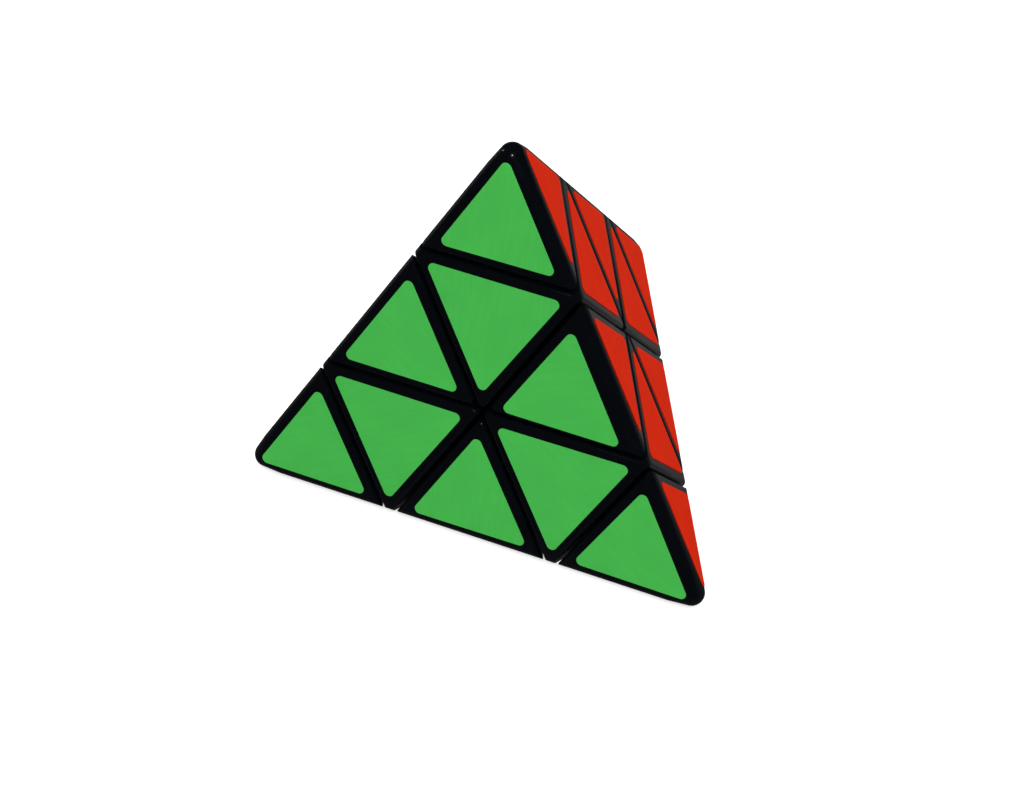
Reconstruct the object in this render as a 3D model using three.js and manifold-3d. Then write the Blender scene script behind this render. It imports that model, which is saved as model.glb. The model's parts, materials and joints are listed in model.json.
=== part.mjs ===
// Pyramid twisty puzzle: a regular tetrahedron cut into four corner tips, four centre blocks
// and six edge pieces, which turn on a spherical core about four axes.
// Millimetres, +Z up. The origin is the point where the four turning axes meet, +Z runs
// through the top corner, and the front face looks towards -Y.

import * as THREE from 'three';
import { ConvexGeometry } from 'three/addons/geometries/ConvexGeometry.js';
import { mergeVertices } from 'three/addons/utils/BufferGeometryUtils.js';
import Module from 'manifold-3d';

const wasm = await Module();
wasm.setup();

// ---- driving dimensions ----------------------------------------------------------------

const EDGE_LENGTH = 98; // one edge of the whole puzzle, over its rounded corners
const CORNER_ROUND = 2.6; // radius at the four corners
const EDGE_ROUND = 2.2; // radius along the six outer edges
const EDGE_EASE = 5; // length over which the corner's radius runs out into the edge's
const SEAM_ROUND = 1; // radius where an outer face turns into a cut face
const PIECE_GAP = 0.4; // running gap between two neighbouring pieces
const FACE_ALLOWANCE = 0.02; // a cell stands this far outside the body that trims it

const CORE_BALL = 12; // radius of the hub that the edge pieces slide on
const WING_INNER = 12.4; // the hidden wings of the edge pieces are a shell
const WING_OUTER = 17.5; // between these two radii
const WING_CUT = 2.5; // distance from the centre of the planes that part the wings
const BLOCK_INNER = 18.1; // radius of the hollow under the centre blocks

const POST_RADIUS = 4; // four posts of the core, one on each axis
const POST_TOP = 17.5;
const PILOT_RADIUS = 1.8; // clearance round the screw in post and web
const PILOT_BOTTOM = 6.5;
const STEM_OUTER = 5.8; // tube under a centre block that turns round the post
const STEM_BORE = 4.3;
const WEB_LOW = 18; // floor of the spring pocket
const WEB_HIGH = 22;
const POCKET_RADIUS = 4.2;

const COLLAR_HEIGHT = 4.1; // snap collar that carries a tip, above the tip cut
const COLLAR_ROOT = 2; // depth of the collar's root inside the block
const COLLAR_RADIUS = 5;
const LIP_RADIUS = 5.5;
const LIP_HEIGHT = 1.5;
const LIP_SLOPE = 0.3; // height of the slope under the lip
const LIP_LEAD = 0.6; // height of the lead-in above the lip
const SOCKET_GAP = 0.35; // clearance between the collar and its socket
const SOCKET_HOLLOW = 12; // depth of the hollow in a tip above the collar
const SOCKET_END = 1.5; // radius of the hollow at its closed end

const SCREW_RADIUS = 1.5;
const SCREW_BOTTOM = 7;
const POINT_RADIUS = 0.75; // flat end of the screw's point
const POINT_LENGTH = 1.5;
const HEAD_RADIUS = 3.2;
const HEAD_LOW = 30;
const HEAD_HEIGHT = 2.4;
const HEAD_SLOPE = 0.9; // height of the sloping rim of the head
const HEAD_FLAT = 1.9; // radius of the flat on top of the head
const CROSS_WIDTH = 0.8; // cross recess in the head
const CROSS_LENGTH = 3.4;
const CROSS_DEPTH = 1.2;

const SPRING_RADIUS = 2.6; // to the middle of the wire
const SPRING_WIRE = 0.35; // radius of the wire
const SPRING_TURNS = 4;
const SPRING_CLEARANCE = 0.3;

const STICKER_THICKNESS = 0.12;
const STICKER_GAP = 0.03; // adhesive under a sticker
const STICKER_OUTER_INSET = 3.3; // from an outer edge of the puzzle
const STICKER_CUT_INSET = 2.6; // from a cut, on tips and edge pieces
const STICKER_CENTRE_INSET = 1.9; // from a cut, on centre blocks
const STICKER_CORNER = 1.1;

const BODY_STEPS = 4; // facets along the large round
const SEAM_STEPS = 3; // facets along the small round
const STICKER_STEPS = 2;
const WING_STEPS = 1;
const SPRING_STEPS = 8; // facets in one turn
const WIRE_STEPS = 3; // facets along half the wire's section
const BALL_DETAIL = 3;
const TURNED_SIDES = 18;
const OVERRUN = 1; // how far a cutting tool runs past the solid
const TOLERANCE = 1e-6;

// ---- sizes that follow -----------------------------------------------------------------

const SHARP_EDGE = EDGE_LENGTH + 2 * (Math.sqrt(6) - 1) * CORNER_ROUND;
const FACE = (SHARP_EDGE * Math.sqrt(6)) / 12; // centre to a face
const LAYER_CUT = FACE / 3; // centre to the cut under a layer
const TIP_CUT = (FACE * 5) / 3; // centre to the cut under a tip
const CELL_EDGE = SHARP_EDGE / 3;
const CELL_INRADIUS = CELL_EDGE / (2 * Math.sqrt(3)); // of a cell's triangle on a face
const HALF_GAP = PIECE_GAP / 2;
const COLLAR_TOP = TIP_CUT + COLLAR_HEIGHT;

// ---- the four corners ------------------------------------------------------------------

const CORNER_NAMES = ['top', 'left', 'right', 'back'];
const DROP = -1 / 3;
const REACH = Math.sqrt(8) / 3;
const axisAt = (angle) =>
  new THREE.Vector3(REACH * Math.cos(angle), REACH * Math.sin(angle), DROP);
const AXES = {
  top: new THREE.Vector3(0, 0, 1),
  left: axisAt((-5 * Math.PI) / 6),
  right: axisAt(-Math.PI / 6),
  back: axisAt(Math.PI / 2),
};
const FACE_COLOURS = { back: 'green', left: 'red', right: 'yellow', top: 'blue' };

const EDGE_PAIRS = CORNER_NAMES.flatMap((a, i) => CORNER_NAMES.slice(i + 1).map((b) => [a, b]));

function othersThan(...corners) {
  return CORNER_NAMES.filter((name) => !corners.includes(name));
}

// ---- materials -------------------------------------------------------------------------

const FINISHES = {
  black: { color: 0x0b0c0f, roughness: 0.25, metalness: 0 },
  nylon: { color: 0x17181b, roughness: 0.5, metalness: 0 },
  steel: { color: 0xb8bcc0, roughness: 0.35, metalness: 1 },
  green: { color: 0x43ad4c, roughness: 0.45, metalness: 0 },
  red: { color: 0xc92a19, roughness: 0.45, metalness: 0 },
  yellow: { color: 0xf2cb22, roughness: 0.45, metalness: 0 },
  blue: { color: 0x1c55b4, roughness: 0.45, metalness: 0 },
};

const puzzle = new THREE.Group();

function addPiece(name, geometry, finish, turn = new THREE.Quaternion()) {
  const mesh = new THREE.Mesh(geometry, new THREE.MeshStandardMaterial(FINISHES[finish]));
  mesh.name = name;
  mesh.quaternion.copy(turn);
  puzzle.add(mesh);
  return mesh;
}

// ---- solids ----------------------------------------------------------------------------

function toSolid(geometry) {
  const bare = geometry.clone();
  bare.deleteAttribute('normal');
  bare.deleteAttribute('uv');
  const merged = mergeVertices(bare);
  return new wasm.Manifold(
    new wasm.Mesh({
      numProp: 3,
      vertProperties: new Float32Array(merged.attributes.position.array),
      triVerts: new Uint32Array(merged.index.array),
    }),
  );
}

function toGeometry(solid) {
  const mesh = solid.getMesh();
  const geometry = new THREE.BufferGeometry();
  geometry.setAttribute('position', new THREE.BufferAttribute(mesh.vertProperties, 3));
  geometry.setIndex(new THREE.BufferAttribute(mesh.triVerts, 1));
  geometry.computeVertexNormals();
  return geometry;
}

function ball(radius) {
  return toSolid(new THREE.IcosahedronGeometry(radius, BALL_DETAIL));
}

// A profile of [radius, height] pairs, turned about +Z.
function turned(profile) {
  const points = profile.map(([radius, height]) => new THREE.Vector2(radius, height));
  return toSolid(new THREE.LatheGeometry(points, TURNED_SIDES).rotateX(Math.PI / 2));
}

function rod(radius, low, high) {
  return turned([[0, low], [radius, low], [radius, high], [0, high]]);
}

// A half-space is everything up to `reach` from the origin along `normal`.
const below = (corner, reach) => ({ normal: AXES[corner].clone(), reach });
const above = (corner, reach) => ({ normal: AXES[corner].clone().negate(), reach: -reach });

function meetingPoint(a, b, c) {
  const bc = b.normal.clone().cross(c.normal);
  const scale = a.normal.dot(bc);
  if (Math.abs(scale) < TOLERANCE) return null;
  return bc
    .multiplyScalar(a.reach)
    .addScaledVector(c.normal.clone().cross(a.normal), b.reach)
    .addScaledVector(a.normal.clone().cross(b.normal), c.reach)
    .divideScalar(scale);
}

// Corners of the convex cell that the half-spaces bound, each with the normals that meet there.
function cellCorners(halfSpaces) {
  const corners = [];
  for (let i = 0; i < halfSpaces.length; i += 1) {
    for (let j = i + 1; j < halfSpaces.length; j += 1) {
      for (let k = j + 1; k < halfSpaces.length; k += 1) {
        const point = meetingPoint(halfSpaces[i], halfSpaces[j], halfSpaces[k]);
        if (!point) continue;
        if (halfSpaces.some((h) => h.normal.dot(point) > h.reach + TOLERANCE)) continue;
        if (corners.some((corner) => corner.point.distanceTo(point) < TOLERANCE)) continue;
        const touching = halfSpaces.filter((h) => h.normal.dot(point) > h.reach - TOLERANCE);
        corners.push({ point, normals: touching.map((h) => h.normal) });
      }
    }
  }
  return corners;
}

// All whole-number weights for `count` normals that add up to `total`.
function weightsFor(count, total) {
  if (count === 1) return [[total]];
  const rows = [];
  for (let first = 0; first <= total; first += 1) {
    for (const rest of weightsFor(count - 1, total - first)) rows.push([first, ...rest]);
  }
  return rows;
}

// Points on the part of a ball's surface that lies between `normals`, its middle among them.
function ballPatch(centre, normals, radius, steps) {
  const points = [];
  const middle = normals.map(() => 1);
  for (const weights of [...weightsFor(normals.length, steps), middle]) {
    const direction = new THREE.Vector3();
    weights.forEach((weight, n) => direction.addScaledVector(normals[n], weight));
    if (direction.length() < TOLERANCE) continue;
    points.push(centre.clone().addScaledVector(direction.normalize(), radius));
  }
  return points;
}

// A ball patch at each corner of the cell, moved in by the radius.
function cornerPatches(halfSpaces, radius, steps) {
  const inset = halfSpaces.map((h) => ({ normal: h.normal, reach: h.reach - radius }));
  return cellCorners(inset).flatMap(({ point, normals }) =>
    ballPatch(point, normals, radius, steps));
}

// The cell with every edge and corner rounded by the same radius.
function roundedCell(halfSpaces, radius, steps) {
  return toSolid(new ConvexGeometry(cornerPatches(halfSpaces, radius, steps)));
}

// The rotation of the puzzle onto itself that takes corners top and left to i and j.
function turnTo(i, j) {
  const frame = (a, b) => {
    const out = AXES[a].clone().add(AXES[b]).normalize();
    const along = AXES[a].clone().sub(AXES[b]).normalize();
    return new THREE.Matrix4().makeBasis(out, along, out.clone().cross(along));
  };
  const matrix = frame(i, j).multiply(frame('top', 'left').transpose());
  return new THREE.Quaternion().setFromRotationMatrix(matrix);
}

const OUTER_SPACES = CORNER_NAMES.map((corner) => above(corner, -FACE));

// The whole puzzle as one solid. Its corners are rounded more than the edges between them.
function makeBody() {
  const points = cornerPatches(OUTER_SPACES, CORNER_ROUND, BODY_STEPS);
  for (const [a, b] of EDGE_PAIRS) {
    const normals = othersThan(a, b).map((corner) => AXES[corner].clone().negate());
    for (const [near, far] of [[a, b], [b, a]]) {
      const along = AXES[far].clone().sub(AXES[near]).normalize();
      const centre = AXES[near].clone().multiplyScalar(3 * (FACE - EDGE_ROUND));
      centre.addScaledVector(along, EDGE_EASE);
      points.push(...ballPatch(centre, normals, EDGE_ROUND, BODY_STEPS));
    }
  }
  return toSolid(new ConvexGeometry(points));
}

const body = makeBody();

function trimmedCell(cuts) {
  const faces = CORNER_NAMES.map((corner) => above(corner, -FACE - FACE_ALLOWANCE));
  return roundedCell([...cuts, ...faces], SEAM_ROUND, SEAM_STEPS).intersect(body);
}

// ---- core ------------------------------------------------------------------------------

function makeCore() {
  const post = rod(POST_RADIUS, 0, POST_TOP);
  const pilot = rod(PILOT_RADIUS, PILOT_BOTTOM, POST_TOP + OVERRUN);
  let core = ball(CORE_BALL);
  const place = (solid, corner) => {
    const [next] = othersThan(corner);
    const turn = new THREE.Matrix4().makeRotationFromQuaternion(turnTo(corner, next));
    return toSolid(toGeometry(solid).applyMatrix4(turn));
  };
  for (const corner of CORNER_NAMES) core = core.add(place(post, corner));
  for (const corner of CORNER_NAMES) core = core.subtract(place(pilot, corner));
  return toGeometry(core);
}

// ---- centre block, screw and spring on the top axis ------------------------------------

function makeCentreBlock() {
  const cuts = [
    above('top', LAYER_CUT + HALF_GAP),
    below('top', TIP_CUT - HALF_GAP),
    ...othersThan('top').map((corner) => below(corner, LAYER_CUT - HALF_GAP)),
  ];
  const collar = turned([
    [0, TIP_CUT - COLLAR_ROOT],
    [COLLAR_RADIUS, TIP_CUT - COLLAR_ROOT],
    [COLLAR_RADIUS, COLLAR_TOP - LIP_HEIGHT],
    [LIP_RADIUS, COLLAR_TOP - LIP_HEIGHT + LIP_SLOPE],
    [LIP_RADIUS, COLLAR_TOP - LIP_LEAD],
    [COLLAR_RADIUS, COLLAR_TOP],
    [0, COLLAR_TOP],
  ]);
  return toGeometry(
    trimmedCell(cuts)
      .subtract(ball(BLOCK_INNER))
      .add(rod(STEM_OUTER, WING_INNER, WEB_HIGH))
      .add(collar)
      .subtract(rod(STEM_BORE, WING_INNER - OVERRUN, WEB_LOW))
      .subtract(rod(PILOT_RADIUS, WEB_LOW - OVERRUN, WEB_HIGH + OVERRUN))
      .subtract(rod(POCKET_RADIUS, WEB_HIGH, COLLAR_TOP + OVERRUN)),
  );
}

function makeScrew() {
  const headTop = HEAD_LOW + HEAD_HEIGHT;
  const blank = turned([
    [0, SCREW_BOTTOM],
    [POINT_RADIUS, SCREW_BOTTOM],
    [SCREW_RADIUS, SCREW_BOTTOM + POINT_LENGTH],
    [SCREW_RADIUS, HEAD_LOW],
    [HEAD_RADIUS, HEAD_LOW],
    [HEAD_RADIUS, headTop - HEAD_SLOPE],
    [HEAD_FLAT, headTop],
    [0, headTop],
  ]);
  const slot = (length, width) => toSolid(
    new THREE.BoxGeometry(length, width, CROSS_DEPTH * 2).translate(0, 0, headTop),
  );
  const cross = slot(CROSS_LENGTH, CROSS_WIDTH).add(slot(CROSS_WIDTH, CROSS_LENGTH));
  return toGeometry(blank.subtract(cross));
}

class Helix extends THREE.Curve {
  constructor(radius, low, high, turns) {
    super();
    Object.assign(this, { radius, low, high, turns });
  }

  getPoint(t, target = new THREE.Vector3()) {
    const angle = t * this.turns * 2 * Math.PI;
    const height = THREE.MathUtils.lerp(this.low, this.high, t);
    return target.set(this.radius * Math.cos(angle), this.radius * Math.sin(angle), height);
  }
}

function makeSpring() {
  const low = WEB_HIGH + SPRING_CLEARANCE + SPRING_WIRE;
  const high = HEAD_LOW - SPRING_CLEARANCE - SPRING_WIRE;
  const wire = new THREE.Shape().absarc(0, 0, SPRING_WIRE, 0, 2 * Math.PI);
  return new THREE.ExtrudeGeometry(wire, {
    curveSegments: WIRE_STEPS,
    steps: SPRING_TURNS * SPRING_STEPS,
    extrudePath: new Helix(SPRING_RADIUS, low, high, SPRING_TURNS),
  });
}

// ---- tip on the top axis ---------------------------------------------------------------

function makeTip() {
  const grooveLow = COLLAR_TOP - LIP_HEIGHT - SOCKET_GAP;
  const socket = turned([
    [0, TIP_CUT - OVERRUN],
    [COLLAR_RADIUS + SOCKET_GAP, TIP_CUT - OVERRUN],
    [COLLAR_RADIUS + SOCKET_GAP, grooveLow],
    [LIP_RADIUS + SOCKET_GAP, grooveLow + LIP_SLOPE],
    [LIP_RADIUS + SOCKET_GAP, COLLAR_TOP + SOCKET_GAP],
    [SOCKET_END, COLLAR_TOP + SOCKET_HOLLOW],
    [0, COLLAR_TOP + SOCKET_HOLLOW],
  ]);
  return toGeometry(trimmedCell([above('top', TIP_CUT + HALF_GAP)]).subtract(socket));
}

// ---- edge piece between the top and left corners ---------------------------------------

function makeEdgePiece() {
  const pair = ['top', 'left'];
  const outer = trimmedCell(pair.map((corner) => above(corner, LAYER_CUT + HALF_GAP)));
  const wingCell = roundedCell([
    ...pair.map((corner) => above(corner, WING_CUT + HALF_GAP)),
    ...othersThan(...pair).map((corner) => below(corner, WING_CUT - HALF_GAP)),
    ...OUTER_SPACES,
  ], SEAM_ROUND, WING_STEPS);
  const wing = wingCell.intersect(ball(WING_OUTER)).subtract(ball(WING_INNER));
  return toGeometry(outer.add(wing));
}

// ---- stickers --------------------------------------------------------------------------

// An equilateral triangle with rounded corners, pointing along +Y, centred on the origin.
function stickerShape(inradius) {
  const shape = new THREE.Shape();
  const reach = 2 * (inradius - STICKER_CORNER);
  for (let corner = 0; corner < 3; corner += 1) {
    const middle = -Math.PI / 6 + (corner * 2 * Math.PI) / 3;
    const x = reach * Math.cos(middle);
    const y = reach * Math.sin(middle);
    shape.absarc(x, y, STICKER_CORNER, middle - Math.PI / 3, middle + Math.PI / 3);
  }
  return shape;
}

// A sticker on the face opposite the corner `face`. Its cell lies `place` cell inradii from the
// middle of the face towards `corner`, and points that way, or the other way with `pointing` -1.
function addSticker(name, face, corner, { place, pointing, base, sides }) {
  const out = AXES[face].clone().negate();
  const up = AXES[corner].clone().addScaledVector(out, -AXES[corner].dot(out)).normalize();
  const point = up.clone().multiplyScalar(pointing);
  const inradius = CELL_INRADIUS - (base + 2 * sides) / 3;
  const shift = ((base - sides) * 2) / 3;
  const geometry = new THREE.ExtrudeGeometry(stickerShape(inradius), {
    depth: STICKER_THICKNESS,
    bevelEnabled: false,
    curveSegments: STICKER_STEPS,
  });
  const frame = new THREE.Matrix4().makeBasis(point.clone().cross(out), point, out);
  const turn = new THREE.Quaternion().setFromRotationMatrix(frame);
  addPiece(`sticker_${FACE_COLOURS[face]}_${name}`, geometry, FACE_COLOURS[face], turn)
    .position.addScaledVector(out, FACE + STICKER_GAP)
    .addScaledVector(up, place * CELL_INRADIUS)
    .addScaledVector(point, shift);
}

// ---- assembly --------------------------------------------------------------------------

addPiece('core', makeCore(), 'nylon');

const centreBlock = makeCentreBlock();
const screw = makeScrew();
const spring = makeSpring();
const tip = makeTip();
for (const corner of CORNER_NAMES) {
  const [next] = othersThan(corner);
  const turn = turnTo(corner, next);
  addPiece(`centre_${corner}`, centreBlock, 'black', turn);
  addPiece(`screw_${corner}`, screw, 'steel', turn);
  addPiece(`spring_${corner}`, spring, 'steel', turn);
  addPiece(`tip_${corner}`, tip, 'black', turn);
}

const edgePiece = makeEdgePiece();
for (const [a, b] of EDGE_PAIRS) addPiece(`edge_${a}_${b}`, edgePiece, 'black', turnTo(a, b));

const OUTER = STICKER_OUTER_INSET;
const CUT = STICKER_CUT_INSET;
const CENTRE = STICKER_CENTRE_INSET;
for (const face of CORNER_NAMES) {
  for (const corner of othersThan(face)) {
    const [a, b] = othersThan(face, corner);
    const onTip = { place: 4, pointing: 1, base: CUT, sides: OUTER };
    const onCentre = { place: 2, pointing: -1, base: CENTRE, sides: CENTRE };
    const onEdge = { place: -2, pointing: 1, base: OUTER, sides: CUT };
    addSticker(`tip_${corner}`, face, corner, onTip);
    addSticker(`centre_${corner}`, face, corner, onCentre);
    addSticker(`edge_${a}_${b}`, face, corner, onEdge);
  }
}

export default puzzle;
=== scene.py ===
# %% [markdown]
# # A pyramid twisty puzzle
#
# This file dresses a finished CAD model of a tetrahedral twisty puzzle: four tips, four
# centre blocks, six edge pieces, a hidden core with sprung screws, and thirty-six stickers.
# The CAD model says where everything is and how it turns. Here each CAD solid is replaced by
# a finely rounded moulding in the same place, with a material made of nodes.

# %% Load the frame
import json
import math
import random
from itertools import combinations

import bmesh
import bpy
from mathutils import Matrix, Vector

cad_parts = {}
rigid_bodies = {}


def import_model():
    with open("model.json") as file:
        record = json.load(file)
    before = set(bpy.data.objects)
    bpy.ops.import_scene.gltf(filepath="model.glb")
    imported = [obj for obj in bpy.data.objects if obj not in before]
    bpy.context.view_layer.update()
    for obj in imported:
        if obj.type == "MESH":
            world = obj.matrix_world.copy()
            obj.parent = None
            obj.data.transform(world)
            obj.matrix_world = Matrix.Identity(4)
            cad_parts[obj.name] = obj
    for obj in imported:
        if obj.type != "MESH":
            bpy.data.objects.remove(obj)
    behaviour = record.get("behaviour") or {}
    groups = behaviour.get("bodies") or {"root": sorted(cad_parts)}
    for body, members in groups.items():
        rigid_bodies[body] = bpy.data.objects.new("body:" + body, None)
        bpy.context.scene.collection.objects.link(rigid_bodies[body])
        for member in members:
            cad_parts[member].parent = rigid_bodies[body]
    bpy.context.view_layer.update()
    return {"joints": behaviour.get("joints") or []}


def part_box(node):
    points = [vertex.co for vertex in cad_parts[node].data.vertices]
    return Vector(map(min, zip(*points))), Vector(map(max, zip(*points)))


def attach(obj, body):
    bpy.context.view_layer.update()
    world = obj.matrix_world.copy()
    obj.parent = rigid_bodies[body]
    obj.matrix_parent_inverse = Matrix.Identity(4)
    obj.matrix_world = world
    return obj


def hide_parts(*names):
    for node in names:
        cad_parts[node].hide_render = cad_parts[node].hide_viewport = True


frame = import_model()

MM = 0.001  # the scene is in metres, and sizes below are given in millimetres

# %% [markdown]
# ## The four corners
#
# Everything on this puzzle is placed by four directions, from the centre to the corners of a
# tetrahedron. They could be typed in, but the CAD model already holds them as the axes of the
# four layer hinges, so they are read from there. The distance from the centre to a face comes
# from the height of a bottom sticker, which lies one sticker's thickness below that face.

# %% Corners, faces and cuts
CORNERS = ["top", "left", "right", "back"]
PAIRS = list(combinations(CORNERS, 2))
FACE_COLOURS = {"back": "green", "left": "red", "right": "yellow", "top": "blue"}
joints = {joint["name"]: joint for joint in frame["joints"]}
AXES = {corner: Vector(joints["layer_" + corner]["axis"]).normalized() for corner in CORNERS}

STICKER_TOP = 0.15 * MM  # a sticker's outer surface above the plastic face
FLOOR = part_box("sticker_blue_centre_back")[0].z
FACE = -FLOOR - STICKER_TOP
LAYER_CUT = FACE / 3
TIP_CUT = FACE * 5 / 3
CELL_INRADIUS = FACE / 3 * math.sqrt(2)  # of the triangle that one cell shows on a face
print("centre to face in mm:", round(FACE / MM, 3))


def others_than(*corners):
    return [corner for corner in CORNERS if corner not in corners]


# %% [markdown]
# ## The camera
#
# The puzzle stands on its blue face, and the camera looks down on the green face from the
# right with a long lens, rolled a few degrees. The camera is placed by a turn, a height and a
# distance round the object, because those are what a photographer chooses.

# %% Camera
CAMERA_TURN = math.radians(26.7)
CAMERA_HEIGHT = math.radians(47.76)
CAMERA_DISTANCE = 519.8 * MM
CAMERA_ROLL = math.radians(3.85)
CAMERA_AIM = Vector((-0.5, -5.7, -4.2)) * MM
LENS = 91.8  # millimetres on a sensor 36 mm wide


def make_camera():
    place = CAMERA_DISTANCE * Vector((
        math.sin(CAMERA_TURN) * math.cos(CAMERA_HEIGHT),
        -math.cos(CAMERA_TURN) * math.cos(CAMERA_HEIGHT),
        math.sin(CAMERA_HEIGHT),
    ))
    data = bpy.data.cameras.new("camera")
    data.lens = LENS
    data.sensor_width = 36
    data.clip_start = 0.01
    camera = bpy.data.objects.new("camera", data)
    look = (CAMERA_AIM - place).to_track_quat("-Z", "Y")
    roll = Matrix.Rotation(-CAMERA_ROLL, 4, "Z")
    camera.matrix_world = Matrix.Translation(place) @ look.to_matrix().to_4x4() @ roll
    bpy.context.scene.collection.objects.link(camera)
    bpy.context.scene.camera = camera
    return place


camera_place = make_camera()
print("camera in mm:", [round(v / MM, 1) for v in camera_place])

# %% [markdown]
# ## Two small helpers
#
# Colours are written as sRGB hex values, the way a swatch book gives them, and the shader
# wants them linear. Node trees are built in code, so one helper adds a node with its settings
# and wires its inputs.

# %% Helpers for colours and nodes


def linear(hex_colour):
    channels = [int(hex_colour[i:i + 2], 16) / 255 for i in (1, 3, 5)]
    bent = [c / 12.92 if c <= 0.04045 else ((c + 0.055) / 1.055) ** 2.4 for c in channels]
    return (*bent, 1.0)


def add(tree, kind, inputs=None, **settings):
    node = tree.nodes.new(kind)
    for name, value in settings.items():
        setattr(node, name, value)
    for name, value in (inputs or {}).items():
        if isinstance(value, bpy.types.NodeSocket):
            tree.links.new(value, node.inputs[name])
        else:
            node.inputs[name].default_value = value
    return node


print("leaf green, linear:", [round(v, 3) for v in linear("#43AD4A")])

# %% [markdown]
# ## Black gloss ABS
#
# The tips, centre blocks and edge pieces are injection-moulded ABS, pigmented black and
# polished in the mould. It could be one flat black, but real mouldings carry a faint waviness
# from shrinkage that bends the reflections, and hairlines from handling that widen them. Both
# are noise on Object coordinates: the waves are about 4 mm long and the hairlines 0.3 mm wide.

# %% Moulded ABS


def moulded_abs():
    material = bpy.data.materials.new("moulded_gloss_black_ABS")
    material.use_nodes = True
    tree = material.node_tree
    tree.nodes.clear()
    place = add(tree, "ShaderNodeTexCoord").outputs["Object"]
    waves = add(tree, "ShaderNodeTexNoise", {
        "Vector": place, "Scale": 1 / (4 * MM), "Detail": 1.0})
    along = add(tree, "ShaderNodeMapping", {
        "Vector": place, "Rotation": (0.5, 0.9, 0.3), "Scale": (1.0, 0.05, 1.0)})
    hairs = add(tree, "ShaderNodeTexNoise", {
        "Vector": along.outputs[0], "Scale": 1 / (0.3 * MM), "Detail": 2.0})
    gloss = add(tree, "ShaderNodeMapRange", {
        "Value": hairs.outputs[0], "From Min": 0.35, "From Max": 0.75,
        "To Min": 0.14, "To Max": 0.22})
    tint = add(tree, "ShaderNodeMix", {
        0: waves.outputs[0], 6: linear("#020408"), 7: linear("#04070C")}, data_type="RGBA")
    wavy = add(tree, "ShaderNodeBump", {
        "Height": waves.outputs[0], "Strength": 0.3, "Distance": 0.02 * MM})
    shader = add(tree, "ShaderNodeBsdfPrincipled", {
        "Base Color": tint.outputs[2], "Roughness": gloss.outputs[0],
        "IOR": 1.53, "Specular IOR Level": 0.5, "Normal": wavy.outputs[0]})
    add(tree, "ShaderNodeOutputMaterial", {"Surface": shader.outputs[0]})
    return material


black_abs = moulded_abs()
print("made", black_abs.name)

# %% [markdown]
# ## Vinyl stickers
#
# The stickers are die-cut from coloured calendered PVC film. Rolling leaves very faint streaks
# in one direction, and the film is nearly matt. The streaks follow each sticker, so they read
# the sticker's own UV map, which holds millimetres across its face.

# %% Calendered vinyl
VINYL = {"green": "#43AD4A", "red": "#D12504", "yellow": "#F0C81E", "blue": "#1B55B5"}


def calendered_vinyl(colour):
    material = bpy.data.materials.new("calendered_vinyl_film_" + colour)
    material.use_nodes = True
    tree = material.node_tree
    tree.nodes.clear()
    flat = add(tree, "ShaderNodeUVMap", uv_map="UVMap").outputs[0]
    along = add(tree, "ShaderNodeMapping", {
        "Vector": flat, "Rotation": (0, 0, math.radians(20)), "Scale": (0.08, 1.0, 1.0)})
    streaks = add(tree, "ShaderNodeTexNoise", {
        "Vector": along.outputs[0], "Scale": 1.4, "Detail": 3.0})
    clouds = add(tree, "ShaderNodeTexNoise", {"Vector": flat, "Scale": 0.12, "Detail": 2.0})
    both = add(tree, "ShaderNodeMath", {
        0: streaks.outputs[0], 1: clouds.outputs[0]}, operation="ADD")
    shade = add(tree, "ShaderNodeMapRange", {
        "Value": both.outputs[0], "From Min": 0.6, "From Max": 1.4,
        "To Min": 0.93, "To Max": 1.07})
    colours = add(tree, "ShaderNodeHueSaturation", {
        "Color": linear(VINYL[colour]), "Value": shade.outputs[0]})
    satin = add(tree, "ShaderNodeMapRange", {
        "Value": streaks.outputs[0], "From Min": 0.3, "From Max": 0.7,
        "To Min": 0.38, "To Max": 0.5})
    grain = add(tree, "ShaderNodeBump", {
        "Height": streaks.outputs[0], "Strength": 0.15, "Distance": 0.02 * MM})
    shader = add(tree, "ShaderNodeBsdfPrincipled", {
        "Base Color": colours.outputs[0], "Roughness": satin.outputs[0],
        "IOR": 1.53, "Specular IOR Level": 0.005, "Normal": grain.outputs[0]})
    add(tree, "ShaderNodeOutputMaterial", {"Surface": shader.outputs[0]})
    return material


vinyl = {colour: calendered_vinyl(colour) for colour in VINYL}
print("made", [material.name for material in vinyl.values()])

# %% [markdown]
# ## Hidden parts: nylon core, zinc-plated screws and spring wire
#
# The core is moulded nylon, which is tough and slippery, here pigmented black and satin. The
# screws are zinc-plated steel, with a faint turning grain round the head. The springs are
# drawn music wire, darker, with drawing lines along the wire. Each of them gets only a fine,
# even grain of noise here, in tone, gloss and bump.

# %% Nylon and steel


def hidden_finish(name, colours, metallic, roughness, grain_mm, bump_mm):
    material = bpy.data.materials.new(name)
    material.use_nodes = True
    tree = material.node_tree
    tree.nodes.clear()
    place = add(tree, "ShaderNodeTexCoord").outputs["Object"]
    grain = add(tree, "ShaderNodeTexNoise", {
        "Vector": place, "Scale": 1 / (grain_mm * MM), "Detail": 3.0})
    tint = add(tree, "ShaderNodeMix", {
        0: grain.outputs[0], 6: linear(colours[0]), 7: linear(colours[1])},
        data_type="RGBA")
    rough = add(tree, "ShaderNodeMapRange", {
        "Value": grain.outputs[0], "To Min": roughness[0], "To Max": roughness[1]})
    bump = add(tree, "ShaderNodeBump", {
        "Height": grain.outputs[0], "Strength": 0.3, "Distance": bump_mm * MM})
    shader = add(tree, "ShaderNodeBsdfPrincipled", {
        "Base Color": tint.outputs[2], "Roughness": rough.outputs[0],
        "Metallic": metallic, "Normal": bump.outputs[0]})
    add(tree, "ShaderNodeOutputMaterial", {"Surface": shader.outputs[0]})
    return material


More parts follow.
